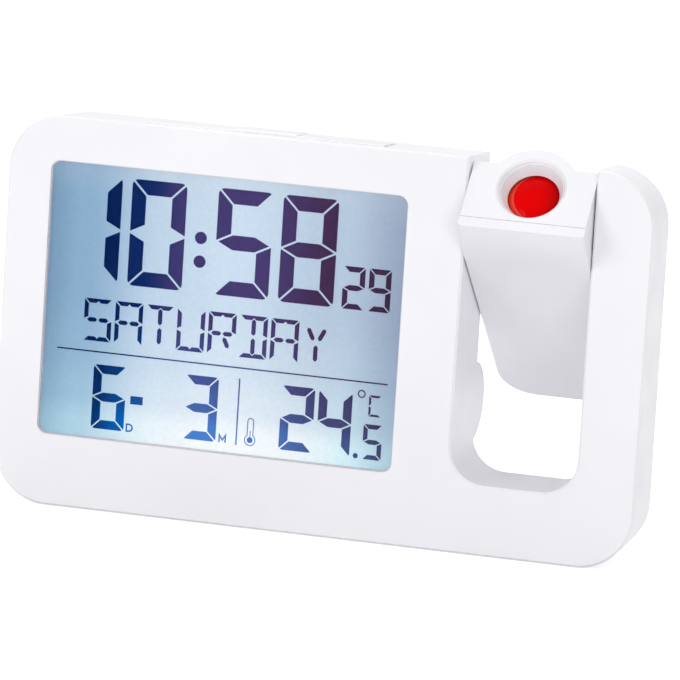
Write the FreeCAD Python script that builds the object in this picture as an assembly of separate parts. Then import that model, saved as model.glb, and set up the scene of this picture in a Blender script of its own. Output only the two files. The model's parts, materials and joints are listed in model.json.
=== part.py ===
import FreeCAD, Part
import math
import os

# Projection alarm clock: a flat white casing with a backlit display on the left and an open slot on
# the right, where a projector arm swings on two hollow stubs. Millimetres. X runs to the right as one
# faces the display, Y runs to the back and Z up. The origin is the middle of the base, on the table.

# Casing
casing_width = 188.0
casing_height = 111.8
base_depth = 25.8
top_depth = 23.3
corner_radius = 16.0
wall = 2.0
rear_inset = 1.3
front_edge_chamfer = 0.6
rear_edge_chamfer = 0.7
rear_cover_depth = 3.2

# Open slot for the arm, and the post to its right
slot_width = 36.7
slot_floor = 19.95
slot_corner_radius = 10.0
post_width = 17.05

# Display window and the stack behind it
window_corner = 3.0
window_left_margin = 12.65
window_right_margin = 16.6
window_top_margin = 12.7
window_bottom_margin = 20.5
window_thickness = 1.5
window_sink = 0.3
window_clearance = 0.05
panel_overlap = 3.0
panel_thickness = 2.6
guide_thickness = 3.0
stack_gap = 0.2
frame_wall = 2.0
frame_back = 1.4
board_thickness = 1.6
strip_height = 2.2
strip_inset = 6.0
guide_inset = 1.0
frame_ledge = 1.0
led_strip_height = 1.0
led_depth = 2.4
led_count = 3
led_pitch = 33.3
frame_boss_side = 10.0
frame_boss_below = 9.5
frame_boss_above = 7.8
frame_top_boss_left = 8.0
frame_top_boss_right = 2.0

# Projector arm, in its folded position flush with the casing
arm_length = 85.0
arm_side_gap = 0.3
arm_rear_shell_inset = 0.15
arm_seam_width = 0.35
arm_seam_depth = 0.4
arm_wall = 1.6
arm_parting = 4.7
arm_brow_setback = 1.8
arm_brow_height = 14.0
arm_brow_bend_setback = 0.54
arm_brow_bend_drop = 6.3
arm_corner_radius = 10.5
arm_edge_chamfer = 0.5
arm_screw_rise = 10.0
arm_screw_pitch = 19.0
arm_screw_sink = 0.8
blade_thickness = 10.0
head_back_height = 30.0
head_taper_height = 16.0
head_taper_bow = 2.5
pivot_from_front = 15.3
pivot_below_top = 21.5
rest_tilt = 49.6

# Barrel, focus ring and optics inside the arm's head
barrel_radius = 13.6
barrel_height = 36.0
barrel_core_radius = 11.0
barrel_core_depth = 12.5
optics_setback = 0.6
mouth_radius = 9.4
mouth_bevel = 0.6
mouth_depth = 1.2
ring_height = 3.2
ring_land = 0.3
ring_opening = 7.3
optics_gap = 0.3
cell_wall = 0.5
cell_depth = 7.2
cell_lip = 0.9
lens_radius = 8.0
lens_sink = 5.6
lens_crown = 2.3
lens_thickness = 4.0
tunnel_depth = 15.5
tunnel_side = 15.2
tunnel_wall = 1.6
tunnel_arm = 2.0
slide_size = 10.0
slide_thickness = 1.2
condenser_drop = 6.0
condenser_rim = 1.0
condenser_crown = 2.5
condenser_curve = 9.0
projector_board_thickness = 1.2
projector_board_clearance = 1.7
projector_led_radius = 2.5
projector_led_height = 6.5
projector_led_round = 1.25
barrel_end_chamfer = 1.5

# Pivot stubs and their bushes
stub_radius = 4.0
stub_bore_radius = 2.4
stub_past_clip = 1.0
stub_flange_reach = 1.4
bush_clearance = 0.05
bush_wall = 1.6
bush_flange = 0.6
bush_flange_thickness = 1.2
clip_thickness = 0.8
clip_reach = 1.6
clip_gap = 0.3
stub_flange_thickness = 1.4

# Snooze bar on top
bar_left_margin = 26.15
bar_right_margin = 8.85
bar_depth = 12.0
bar_from_front = 3.5
bar_proud = 0.4
bar_pad_length = 18.5
bar_pad_proud = 0.5
bar_travel = 0.6
bar_switch_depth = 4.4
bar_switch_rise = 1.0
bar_round = 0.4
bar_lip = 1.2
bar_lip_inside = 4.0
bar_lip_height = 1.0
press_slack = 0.2
key_gap = 0.3

# Keys and slide switch on the back
rear_key_names = ["alarm_key", "time_key", "plus_key", "minus_key", "projection_key"]
rear_key_length = 9.0
rear_key_width = 5.0
rear_key_pitch = 15.0
rear_key_first = 37.5
rear_key_rise = 80.0
rear_key_proud = 0.9
rear_key_edge = 0.4
rear_key_flange = 1.2
rear_key_stem = 4.4
rear_key_flange_thickness = 1.0
rear_key_travel = 0.6
switch_size = 6.0
switch_height = 3.4
plunger_size = 3.2
plunger_height = 0.8
slider_width = 3.4
slider_height = 3.2
slider_travel = 3.0
slider_from_key = 19.5
slider_flange = 1.2
slider_groove = 0.4
slider_groove_pitch = 1.0
slider_body_height = 6.0
slider_body_length = 9.0
slider_body_depth = 5.0

# Battery hump, cells and contacts
hump_radius = 11.4
hump_height = 39.3
hump_inset = 2.4
hump_cap = 3.6
hump_end_chamfer = 1.3
bay_length = 108.0
bay_radius = 8.2
bay_wall = 1.6
door_wall = 1.8
door_gap = 0.3
door_tab_length = 28.0
door_tab_depth = 2.5
door_tab_proud = 0.4
door_ribs = 5
door_rib_pitch = 2.4
door_rib_width = 0.9
door_rib_proud = 0.4
door_rib_length = 12.0
cell_radius = 7.25
cell_length = 50.5
cell_gap = 0.3
cap_radius = 2.7
cap_height = 1.2
contact_thickness = 0.5
contact_size = 9.0
spring_width = 6.0
spring_height = 8.0
spring_thickness = 0.4
spring_top = 1.6

# Small pieces
boss_radius = 2.5
lug_reach = 2.2
screw_radius = 1.1
screw_head_radius = 2.2
screw_head_height = 1.5
screw_clearance = 0.2
screw_cross_reach = 1.4
screw_cross_width = 0.6
frame_screw_length = 7.0
case_screw_length = 8.0
arm_screw_length = 5.5
case_boss_gap = 0.5
case_boss_side = 4.8
case_boss_below_top = 49.8
case_boss_rise = 9.0
case_boss_from_slot = 5.0
case_boss_from_left = 34.0
foot_length = 14.0
foot_depth = 4.6
foot_thickness = 1.5
foot_proud = 0.2
foot_front_margin = 2.2
foot_rear_margin = 1.0
foot_side_margin = 24.0
buzzer_radius = 9.5
buzzer_height = 3.4
buzzer_offset = 34.0
buzzer_below_keys = 18.0
sound_slots = 4
sound_slot_length = 11.0
sound_slot_height = 1.2
sound_slot_pitch = 3.2
sensor_rise = 18.0
sensor_width = 6.0
sensor_height = 9.0
sensor_thickness = 1.6
sensor_bead = 1.5
vent_length = 8.0
vent_height = 1.0
vent_pitch = 3.0
chip_offset = 12.0
chip_rise = 45.0
chip_size = 14.0
chip_height = 2.0
chip_bevel = 1.2
crystal_offset = 8.0
crystal_radius = 1.5
crystal_length = 8.0
lead_width = 3.0
lead_thickness = 0.6
lead_bend = 2.5
lead_inset = 4.0
lead_reach = 3.0
led_size = 3.0

front_y = -base_depth / 2
base_z = foot_proud
top_z = base_z + casing_height
left_x = -casing_width / 2
right_x = casing_width / 2
slot_right = right_x - post_width
slot_left = slot_right - slot_width
slot_middle = (slot_left + slot_right) / 2
window_x0 = left_x + window_left_margin
window_x1 = slot_left - window_right_margin
window_z0 = base_z + window_bottom_margin
window_z1 = top_z - window_top_margin
window_middle = (window_x0 + window_x1) / 2
pivot_y = front_y + pivot_from_front
pivot_z = top_z - pivot_below_top
optics_y = pivot_y + optics_setback
# How far cutting shapes run past what they cut, a reach beyond everything, and a tiny length
past = 1.0
far = 400.0
tiny = 0.001


def vec(x, y, z):
    return FreeCAD.Vector(x, y, z)


def box(x0, x1, y0, y1, z0, z1):
    return Part.makeBox(x1 - x0, y1 - y0, z1 - z0, vec(x0, y0, z0))


def cyl_x(x0, x1, y, z, radius):
    return Part.makeCylinder(radius, x1 - x0, vec(x0, y, z), vec(1, 0, 0))


def cyl_y(x, y0, y1, z, radius):
    return Part.makeCylinder(radius, y1 - y0, vec(x, y0, z), vec(0, 1, 0))


def cyl_z(x, y, z0, z1, radius):
    return Part.makeCylinder(radius, z1 - z0, vec(x, y, z0), vec(0, 0, 1))


def octagon_y(x, y0, y1, z, radius):
    """Eight-sided rod along Y, for screws' shanks and the holes that they cut their thread in."""
    points = []
    for number in range(8):
        angle = math.pi * (2 * number + 1) / 8
        points.append(vec(x + radius * math.cos(angle), y0, z + radius * math.sin(angle)))
    return Part.Face(Part.makePolygon(points + points[:1])).extrude(vec(0, y1 - y0, 0))


def cone_z(x, y, z0, z1, low_radius, high_radius):
    return Part.makeCone(low_radius, high_radius, z1 - z0, vec(x, y, z0), vec(0, 0, 1))


def tube_x(x0, x1, y, z, outer, inner):
    return cyl_x(x0, x1, y, z, outer).cut(cyl_x(x0, x1, y, z, inner))


def tube_z(x, y, z0, z1, outer, inner):
    return cyl_z(x, y, z0, z1, outer).cut(cyl_z(x, y, z0, z1, inner))


def rounded_outline(x0, x1, z0, z1, radius, y):
    """Closed wire of a rounded rectangle in the plane Y = y."""
    k = radius * math.sqrt(0.5)
    corners = [(x1 - radius, z0 + radius, 1, -1), (x1 - radius, z1 - radius, 1, 1),
               (x0 + radius, z1 - radius, -1, 1), (x0 + radius, z0 + radius, -1, -1)]
    ends = [((0, -1), (1, 0)), ((1, 0), (0, 1)), ((0, 1), (-1, 0)), ((-1, 0), (0, -1))]
    edges = []
    arcs = []
    for (cx, cz, sx, sz), (start, end) in zip(corners, ends):
        first = vec(cx + start[0] * radius, y, cz + start[1] * radius)
        middle = vec(cx + sx * k, y, cz + sz * k)
        last = vec(cx + end[0] * radius, y, cz + end[1] * radius)
        arcs.append((first, middle, last))
    for number, (first, middle, last) in enumerate(arcs):
        edges.append(Part.Arc(first, middle, last).toShape())
        following = arcs[(number + 1) % 4][0]
        edges.append(Part.LineSegment(last, following).toShape())
    return Part.Wire(edges)


def plate(x0, x1, y0, y1, z0, z1, radius):
    face = Part.Face(rounded_outline(x0, x1, z0, z1, radius, y0))
    return face.extrude(vec(0, y1 - y0, 0))


def side_profile(points, x0, x1):
    """Prism along X over a polygon of (y, z) points."""
    wire = Part.makePolygon([vec(x0, y, z) for y, z in points + points[:1]])
    return Part.Face(wire).extrude(vec(x1 - x0, 0, 0))


def fuse_all(shapes):
    result = shapes[0]
    for shape in shapes[1:]:
        result = result.fuse(shape)
    return result.removeSplitter()


def round_edges(shape, radius, wanted):
    edges = [edge for edge in shape.Edges if wanted(edge)]
    return shape.makeFillet(radius, edges)


def chamfer_edges(shape, width, wanted):
    return shape.makeChamfer(width, [edge for edge in shape.Edges if wanted(edge)])


def ball(radius, centre):
    """Sphere whose poles lie left and right, so that its upper side is an even patch."""
    sphere = Part.makeSphere(radius)
    sphere.rotate(vec(0, 0, 0), vec(0, 1, 0), 90)
    sphere.translate(centre)
    return sphere


def back_y(z):
    """Outer face of the back, which leans forward towards the top."""
    share = (z - base_z) / casing_height
    return front_y + base_depth + (top_depth - base_depth) * share


def behind_back(offset):
    """Everything behind the plane that lies offset behind the back's outer face."""
    low, high = base_z - far, top_z + far
    points = [(back_y(low) + offset, low), (back_y(high) + offset, high), (far, high), (far, low)]
    return side_profile(points, -far, far)


def block_between(near, back):
    """Solid between two outlines of four points each."""
    faces = [Part.Face(Part.makePolygon(near + near[:1])), Part.Face(Part.makePolygon(back + back[:1]))]
    for number in range(4):
        following = (number + 1) % 4
        faces.append(Part.Face(Part.makePolygon([near[number], near[following], back[following],
                                                 back[number], near[number]])))
    return Part.Solid(Part.makeShell(faces))


def casing_form(inset, y0):
    """The casing's block, inset all round, from the plane Y = y0 to the back. Its sides and top draw
    in towards the back, and its base is level."""
    def outline(y):
        side = inset + rear_inset * (y - front_y) / base_depth
        return [vec(left_x + side, y, base_z + inset), vec(right_x - side, y, base_z + inset),
                vec(right_x - side, y, top_z - side), vec(left_x + side, y, top_z - side)]
    deepest = front_y + max(base_depth, top_depth)
    block = block_between(outline(y0), outline(deepest))
    block = round_edges(block, corner_radius - inset, lambda edge: edge.BoundBox.YLength > wall)
    return block.cut(behind_back(-inset))


def slot_prism(margin):
    """The slot's open space, grown sideways and down by margin."""
    radius = slot_corner_radius + margin
    return plate(slot_left - margin, slot_right + margin, -far, far,
                 base_z + slot_floor - margin, top_z + far, radius)


def on_front(edge):
    return all(abs(vertex.Point.y - front_y) < tiny for vertex in edge.Vertexes)


def on_back(edge):
    return all(abs(vertex.Point.y - back_y(vertex.Point.z)) < tiny for vertex in edge.Vertexes)


def on_slot(edge):
    return all(slot_left - tiny < vertex.Point.x < slot_right + tiny for vertex in edge.Vertexes)


def casing_walls():
    """Front shell and rear cover together: the bevelled block, the slot and the hollow inside."""
    outer = chamfer_edges(casing_form(0, front_y), front_edge_chamfer, on_front)
    outer = chamfer_edges(outer, rear_edge_chamfer, on_back)
    outer = outer.cut(slot_prism(0))
    outer = chamfer_edges(outer, front_edge_chamfer, lambda edge: on_front(edge) and on_slot(edge))
    outer = chamfer_edges(outer, rear_edge_chamfer, lambda edge: on_back(edge) and on_slot(edge))
    inner = casing_form(wall, front_y + wall).cut(slot_prism(wall))
    return outer.cut(inner)


# Places shared by several pieces
panel_y = front_y + wall
guide_y = panel_y + panel_thickness + stack_gap
frame_back_y = guide_y + guide_thickness + stack_gap
board_y = frame_back_y + frame_back
board_back = board_y + board_thickness
panel_box = (window_x0 - panel_overlap, window_x1 + panel_overlap,
             window_z0 - panel_overlap, window_z1 + panel_overlap)
frame_margin = frame_wall + stack_gap
board_margin = frame_margin - frame_ledge
board_outline_top = panel_box[3] + board_margin
frame_boss_places = [(window_x0 + frame_boss_side, window_z0 - frame_boss_below),
                     (window_x1 - frame_boss_side, window_z0 - frame_boss_below),
                     (window_x0 + frame_top_boss_left, window_z1 + frame_boss_above),
                     (window_x1 - frame_top_boss_right, window_z1 + frame_boss_above)]
case_screw_places = [(left_x + case_boss_side, top_z - case_boss_below_top),
                     (slot_left - case_boss_from_slot, base_z + case_boss_rise),
                     (left_x + case_boss_from_left, base_z + case_boss_rise),
                     (right_x - post_width / 2, top_z - case_boss_below_top)]
hump_z = base_z + hump_height
hump_y = back_y(hump_z) - hump_inset
hump_right = slot_left
bay_right = hump_right - hump_cap
bay_left = bay_right - bay_length
hump_left = bay_left - hump_cap
bar_x0 = window_x0 + bar_left_margin
bar_x1 = window_x1 - bar_right_margin
bar_middle = (bar_x0 + bar_x1) / 2
bar_y0 = front_y + bar_from_front
bar_y1 = bar_y0 + bar_depth
bar_switch_y = board_back + bar_switch_depth / 2
bar_switch_top = board_outline_top + bar_switch_rise
rear_key_z = base_z + rear_key_rise
rear_key_xs = [window_middle - rear_key_first + rear_key_pitch * number
               for number in range(len(rear_key_names))]
slider_x = rear_key_xs[-1] + slider_from_key
inner_back = back_y(rear_key_z) - wall
foot_x = casing_width / 2 - foot_side_margin
foot_y_front = front_y + foot_front_margin
foot_y_rear = back_y(base_z) - rear_cover_depth - foot_rear_margin - foot_depth
buzzer_x = window_middle - buzzer_offset
buzzer_z = rear_key_z - buzzer_below_keys
sensor_x = right_x - post_width / 2
sensor_z = base_z + sensor_rise


def top_z_at(y):
    """Height of the casing's top, which falls a little towards the back."""
    return top_z - rear_inset * (y - front_y) / base_depth


def front_shell():
    shell = casing_walls().cut(behind_back(-rear_cover_depth))
    window = plate(window_x0, window_x1, front_y - past, front_y + wall + past,
                   window_z0, window_z1, window_corner)
    shell = shell.cut(window)
    bosses = []
    for x, z in frame_boss_places:
        boss = cyl_y(x, front_y + wall / 2, frame_back_y, z, boss_radius)
        bosses.append(boss.cut(octagon_y(x, front_y + wall, frame_back_y, z, screw_radius)))
    for x, z in case_screw_places:
        end = back_y(z) - rear_cover_depth - case_boss_gap
        boss = cyl_y(x, front_y + wall / 2, end, z, boss_radius)
        bosses.append(boss.cut(octagon_y(x, end - case_screw_length, end, z, screw_radius)))
    shell = fuse_all([shell] + bosses)
    shell = shell.cut(box(bar_x0, bar_x1, bar_y0, bar_y1, top_z - 2 * wall, top_z + wall))
    shell = shell.cut(bush_holes())
    for foot in foot_boxes():
        shell = shell.cut(foot)
    return shell


def bush_holes():
    """Holes through both slot walls, half in the front shell and half in the rear cover."""
    left = cyl_x(slot_left - wall - past, slot_left + past, pivot_y, pivot_z, bush_outer())
    right = cyl_x(slot_right - past, slot_right + wall + past, pivot_y, pivot_z, bush_outer())
    return left.fuse(right)


def foot_boxes():
    boxes = []
    for x in (-foot_x, foot_x):
        for y in (foot_y_front, foot_y_rear):
            boxes.append(box(x - foot_length / 2, x + foot_length / 2, y, y + foot_depth,
                             0, foot_thickness))
    return boxes


def bush_outer():
    return stub_radius + bush_clearance + bush_wall


def rear_cover():
    cover = casing_walls().common(behind_back(-rear_cover_depth))
    inside = behind_back(-wall / 2)
    caps = []
    for x0, x1 in ((hump_left, bay_left), (bay_right, hump_right)):
        cap = cyl_x(x0, x1, hump_y, hump_z, hump_radius).common(inside)
        caps.append(soften_hump_end(cap) if x0 == hump_left else cap)
    trough = cyl_x(hump_left, hump_right, hump_y, hump_z, bay_radius + bay_wall)
    trough = trough.cut(behind_back(-wall / 2))
    slot_wall = slot_prism(wall + stack_gap).cut(behind_back(-rear_cover_depth))
    trough = trough.cut(slot_wall)
    cover = fuse_all([cover, trough] + caps)
    cover = cover.cut(cyl_x(bay_left, bay_right, hump_y, hump_z, bay_radius))
    cover = cover.cut(bush_holes())
    for x in rear_key_xs:
        cover = cover.cut(key_block(x, inner_back - wall, inner_back + 2 * wall, key_gap))
    cover = cover.cut(slider_window())
    for x, z in case_screw_places:
        cover = cover.cut(cyl_y(x, back_y(z) - 2 * rear_cover_depth, back_y(z) + past, z,
                                screw_radius + screw_clearance))
        cover = cover.cut(cyl_y(x, back_y(z) - screw_head_height, back_y(z) + past, z,
                                screw_head_radius + screw_clearance))
    for number in range(sound_slots):
        z = buzzer_z + (number - (sound_slots - 1) / 2) * sound_slot_pitch
        cover = cover.cut(slot_through_back(buzzer_x, z, sound_slot_length, sound_slot_height))
    for step in (-1, 0, 1):
        z = sensor_z + step * vent_pitch
        cover = cover.cut(slot_through_back(sensor_x, z, vent_length, vent_height))
    return cover


def slot_through_back(x, z, length, height):
    return box(x - length / 2, x + length / 2, back_y(z) - 2 * wall, back_y(z) + wall,
               z - height / 2, z + height / 2)


def soften_hump_end(cap):
    """Bevels the outer rim of the hump's free end, away from the slot."""
    def on_rim(edge):
        at_end = all(abs(vertex.Point.x - hump_left) < tiny for vertex in edge.Vertexes)
        return at_end and edge.Curve.TypeId == "Part::GeomCircle"
    return chamfer_edges(cap, hump_end_chamfer, on_rim)


def slider_window():
    reach = slider_width / 2 + key_gap
    return box(slider_x - reach, slider_x + reach + slider_travel,
               inner_back - wall, inner_back + 2 * wall,
               rear_key_z - slider_height / 2 - key_gap, rear_key_z + slider_height / 2 + key_gap)


def battery_door():
    """Curved door over the cells, with a catch along its top and grip ribs on its back."""
    x0, x1 = bay_left + door_gap, bay_right - door_gap
    middle = (x0 + x1) / 2
    outer = cyl_x(x0, x1, hump_y, hump_z, hump_radius)
    door = outer.cut(cyl_x(x0, x1, hump_y, hump_z, hump_radius - door_wall))
    door = door.common(behind_back(door_gap))
    tab_y = hump_y + hump_inset + door_gap
    tab_z = hump_z + hump_radius - door_wall
    tab = box(middle - door_tab_length / 2, middle + door_tab_length / 2, tab_y,
              tab_y + door_tab_depth, tab_z, hump_z + hump_radius + door_tab_proud)
    ribs = []
    behind = box(x0, x1, hump_y + hump_radius / 2, hump_y + 2 * hump_radius,
                 hump_z - door_rib_length / 2, hump_z + door_rib_length / 2)
    for number in range(door_ribs):
        x = middle + (number - (door_ribs - 1) / 2) * door_rib_pitch - door_rib_width / 2
        rib = cyl_x(x, x + door_rib_width, hump_y, hump_z, hump_radius + door_rib_proud)
        rib = rib.cut(cyl_x(x, x + door_rib_width, hump_y, hump_z, hump_radius - door_wall / 2))
        ribs.append(rib.common(behind))
    return fuse_all([door, tab] + ribs)


def battery_cells():
    cells = []
    start = bay_right - contact_thickness - cell_gap
    for number in range(2):
        x1 = start - number * cell_length
        can = cyl_x(x1 - cell_length, x1 - cap_height, hump_y, hump_z, cell_radius)
        cells.append(can.fuse(cyl_x(x1 - cap_height, x1, hump_y, hump_z, cap_radius)))
    return Part.makeCompound(cells)


def battery_contacts():
    """Flat plate at the right end, and a plate with a bowed leaf spring at the left end."""
    half = contact_size / 2
    positive = box(bay_right - contact_thickness, bay_right, hump_y - half, hump_y + half,
                   hump_z - half, hump_z + half)
    plate_face = bay_left + contact_thickness
    negative = box(bay_left, plate_face, hump_y - half, hump_y + half, hump_z - half, hump_z + half)
    cell_end = bay_right - contact_thickness - cell_gap - 2 * cell_length
    foot, top, t = spring_height / 2, spring_top / 2, spring_thickness
    bow = [(plate_face, -foot), (cell_end, -top), (cell_end, top), (plate_face, foot),
           (plate_face, foot - 2 * t), (cell_end - t, top - t / 2), (cell_end - t, t / 2 - top),
           (plate_face, 2 * t - foot)]
    y = hump_y - spring_width / 2
    wire = Part.makePolygon([vec(bx, y, hump_z + bz) for bx, bz in bow + bow[:1]])
    spring = Part.Face(wire).extrude(vec(0, spring_width, 0))
    return Part.makeCompound([positive, negative.fuse(spring).removeSplitter()])


def key_block(x, y0, y1, margin):
    """Space of a rear key's cap, grown all round by margin."""
    half_length, half_width = rear_key_length / 2 + margin, rear_key_width / 2 + margin
    return box(x - half_length, x + half_length, y0, y1,
               rear_key_z - half_width, rear_key_z + half_width)


def rear_key(x):
    """Its cap stands out of the back, a flange keeps it in, and a square stem reaches its switch."""
    back = back_y(rear_key_z)
    cap = key_block(x, inner_back - key_gap, back + rear_key_proud, 0)
    cap = chamfer_edges(cap, rear_key_edge, lambda edge: edge.BoundBox.YMin > back)
    flange_y = inner_back - key_gap - rear_key_flange_thickness
    flange = key_block(x, flange_y, inner_back - key_gap, rear_key_flange)
    stem_y = board_back + switch_height + plunger_height + rear_key_travel + press_slack
    half = rear_key_stem / 2
    stem = box(x - half, x + half, stem_y, flange_y, rear_key_z - half, rear_key_z + half)
    return fuse_all([cap, flange, stem])


def key_switches():
    switches = []
    half, pin = switch_size / 2, plunger_size / 2
    for x in rear_key_xs:
        can = box(x - half, x + half, board_back, board_back + switch_height,
                  rear_key_z - half, rear_key_z + half)
        plunger = box(x - pin, x + pin, board_back + switch_height,
                      board_back + switch_height + plunger_height, rear_key_z - pin, rear_key_z + pin)
        switches.append(can.fuse(plunger))
    return Part.makeCompound(switches)


def snooze_bar():
    """Long key that follows the fall of the casing's top, with a raised pad in its middle."""
    x0, x1 = bar_x0 + key_gap, bar_x1 - key_gap
    y0, y1 = bar_y0 + key_gap, bar_y1 - key_gap
    under = top_z - wall - rear_inset - key_gap - bar_travel

    def slab(a, b, proud):
        points = [(y0, under), (y0, top_z_at(y0) + proud), (y1, top_z_at(y1) + proud), (y1, under)]
        return side_profile(points, a, b)
    body = slab(x0, x1, bar_proud)
    body = round_edges(body, bar_round, lambda edge: edge.BoundBox.ZMin > top_z_at(y1) + bar_proud / 2)
    half = bar_pad_length / 2
    pad = slab(bar_middle - half, bar_middle + half, bar_proud + bar_pad_proud)
    pad = round_edges(pad, bar_round, lambda edge: edge.BoundBox.ZMin > top_z_at(y1) + bar_proud)
    lips = [box(a, b, y0, y1, under - bar_lip_height, under)
            for a, b in ((x0 - bar_lip, x0 + bar_lip_inside), (x1 - bar_lip_inside, x1 + bar_lip))]
    stem_end = bar_switch_top + bar_travel + press_slack
    half = rear_key_stem / 2
    stem = box(bar_middle - half, bar_middle + half, bar_switch_y - half, bar_switch_y + half,
               stem_end, under)
    return fuse_all([body, pad, stem] + lips)


def snooze_switch():
    """Switch under the bar, side on at the board's upper edge."""
    half = switch_size / 2
    can_top = bar_switch_top - plunger_height
    can = box(bar_middle - half, bar_middle + half, board_back, board_back + bar_switch_depth,
              can_top - switch_size, can_top)
    pin = plunger_size / 2
    plunger = box(bar_middle - pin, bar_middle + pin, bar_switch_y - pin, bar_switch_y + pin,
                  can_top, bar_switch_top)
    return can.fuse(plunger).removeSplitter()


def display_window():
    gap = window_clearance
    y0 = front_y + window_sink
    return plate(window_x0 + gap, window_x1 - gap, y0, y0 + window_thickness,
                 window_z0 + gap, window_z1 - gap, window_corner - gap)


def lcd_panel():
    x0, x1, z0, z1 = panel_box
    return box(x0, x1, panel_y, panel_y + panel_thickness, z0, z1)


def light_guide():
    x0, x1, z0, z1 = panel_box
    return box(x0 + guide_inset, x1 - guide_inset, guide_y, guide_y + guide_thickness,
               z0 + led_size + guide_inset, z1 - strip_height - guide_inset)


def backlight_leds():
    """Lamps on a strip along the panel's lower edge, which shine up into the light guide."""
    x0, x1, z0, z1 = panel_box
    top = z0 + led_strip_height
    pieces = [box(x0 + strip_inset, x1 - strip_inset, guide_y, guide_y + guide_thickness, z0, top)]
    for number in range(led_count):
        x = window_middle + (number - (led_count - 1) / 2) * led_pitch
        pieces.append(box(x - led_size / 2, x + led_size / 2, guide_y, guide_y + led_depth,
                          top, z0 + led_size))
    return fuse_all(pieces)


def contact_strip():
    """Rubber strip that joins the panel's glass to the board."""
    x0, x1, z0, z1 = panel_box
    return box(x0 + strip_inset, x1 - strip_inset, panel_y + panel_thickness, board_y,
               z1 - strip_height, z1)


def display_frame():
    """Tray that holds the panel and the light guide against the front shell."""
    x0, x1, z0, z1 = panel_box
    outer = box(x0 - frame_margin, x1 + frame_margin, panel_y, board_y,
                z0 - frame_margin, z1 + frame_margin)
    pocket = box(x0 - stack_gap, x1 + stack_gap, panel_y - past, frame_back_y,
                 z0 - stack_gap, z1 + stack_gap)
    frame = outer.cut(pocket)
    lugs = []
    for x, z in frame_boss_places:
        reach = z1 + board_margin if z > z1 else z0 - board_margin
        low, high = min(z, reach), max(z, reach)
        low, high = low - lug_reach * (z < z0), high + lug_reach * (z > z1)
        lugs.append(box(x - lug_reach, x + lug_reach, frame_back_y, board_y, low, high))
    frame = fuse_all([frame] + lugs)
    inset = strip_inset - stack_gap
    slit = box(x0 + inset, x1 - inset, frame_back_y - past, board_y + past,
               z1 - strip_height - stack_gap, z1 + stack_gap)
    frame = frame.cut(slit)
    for x, z in frame_boss_places:
        frame = frame.cut(octagon_y(x, frame_back_y - past, board_y + past, z,
                                    screw_radius + screw_clearance))
    return frame


def board_outline():
    x0, x1, z0, z1 = panel_box
    return x0 - board_margin, x1 + board_margin, z0 - board_margin, z1 + board_margin


def main_board():
    x0, x1, z0, z1 = board_outline()
    return box(x0, x1, board_y, board_back, z0, z1)


def frame_screws():
    screws = []
    for x, z in frame_boss_places:
        shank = octagon_y(x, board_y - frame_screw_length, board_y, z, screw_radius)
        head = cyl_y(x, board_y, board_y + screw_head_height, z, screw_head_radius)
        screws.append(shank.fuse(head))
    return Part.makeCompound(screws)


def case_screws():
    screws = []
    for x, z in case_screw_places:
        seat = back_y(z) - screw_head_height
        shank = octagon_y(x, seat - case_screw_length, seat, z, screw_radius)
        head = cyl_y(x, seat, seat + screw_head_height - screw_clearance, z, screw_head_radius)
        cross = []
        for reach_x, reach_z in ((screw_cross_reach, screw_cross_width / 2),
                                 (screw_cross_width / 2, screw_cross_reach)):
            cross.append(box(x - reach_x, x + reach_x, seat + screw_head_height / 3,
                             seat + screw_head_height, z - reach_z, z + reach_z))
        screws.append(shank.fuse(head).cut(fuse_all(cross)))
    return Part.makeCompound(screws)


def clock_chip():
    """Bevelled block of black resin over the clock's chip."""
    x, z, half = window_middle + chip_offset, window_z0 + chip_rise, chip_size / 2
    block = box(x - half, x + half, board_back, board_back + chip_height, z - half, z + half)
    return chamfer_edges(block, chip_bevel, lambda edge: edge.BoundBox.YMin > board_back)


def crystal():
    x, z = window_middle - crystal_offset, window_z0 + chip_rise
    return cyl_z(x, board_back + crystal_radius, z, z + crystal_length, crystal_radius)


def buzzer():
    y1 = back_y(buzzer_z + buzzer_radius) - wall
    return cyl_y(buzzer_x, y1 - buzzer_height, y1, buzzer_z, buzzer_radius)


def temperature_sensor():
    """Small board on the inside of the rear cover, with the sensor's bead on it."""
    half_width, half_height = sensor_width / 2, sensor_height / 2
    y1 = back_y(sensor_z + half_height) - wall
    y0 = y1 - sensor_thickness
    board = box(sensor_x - half_width, sensor_x + half_width, y0, y1,
                sensor_z - half_height, sensor_z + half_height)
    bead = box(sensor_x - sensor_bead, sensor_x + sensor_bead, y0 - sensor_bead, y0,
               sensor_z - sensor_bead, sensor_z + sensor_bead)
    return board.fuse(bead).removeSplitter()


def rubber_feet():
    return Part.makeCompound(foot_boxes())


def slider_body():
    half_length, half_height = slider_body_length / 2, slider_body_height / 2
    x = slider_x + slider_travel / 2
    return box(x - half_length, x + half_length, board_back, board_back + slider_body_depth,
               rear_key_z - half_height, rear_key_z + half_height)


def alarm_slider():
    half_w, half_h = slider_width / 2, slider_height / 2
    y0 = board_back + slider_body_depth + key_gap
    y1 = back_y(rear_key_z) + rear_key_proud
    knob = box(slider_x - half_w, slider_x + half_w, y0, y1,
               rear_key_z - half_h, rear_key_z + half_h)
    flange_y = inner_back - key_gap
    flange = box(slider_x - half_w - slider_flange, slider_x + half_w + slider_flange,
                 flange_y - rear_key_flange_thickness, flange_y,
                 rear_key_z - half_h - slider_flange, rear_key_z + half_h + slider_flange)
    knob = knob.fuse(flange)
    for step in (-1, 0, 1):
        x = slider_x + step * slider_groove_pitch
        knob = knob.cut(box(x - slider_groove / 2, x + slider_groove / 2, y1 - slider_groove, y1 + past,
                            rear_key_z - slider_height, rear_key_z + slider_height))
    return knob.removeSplitter()


# Projector arm, modelled folded and turned to its resting tilt at the end

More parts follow.
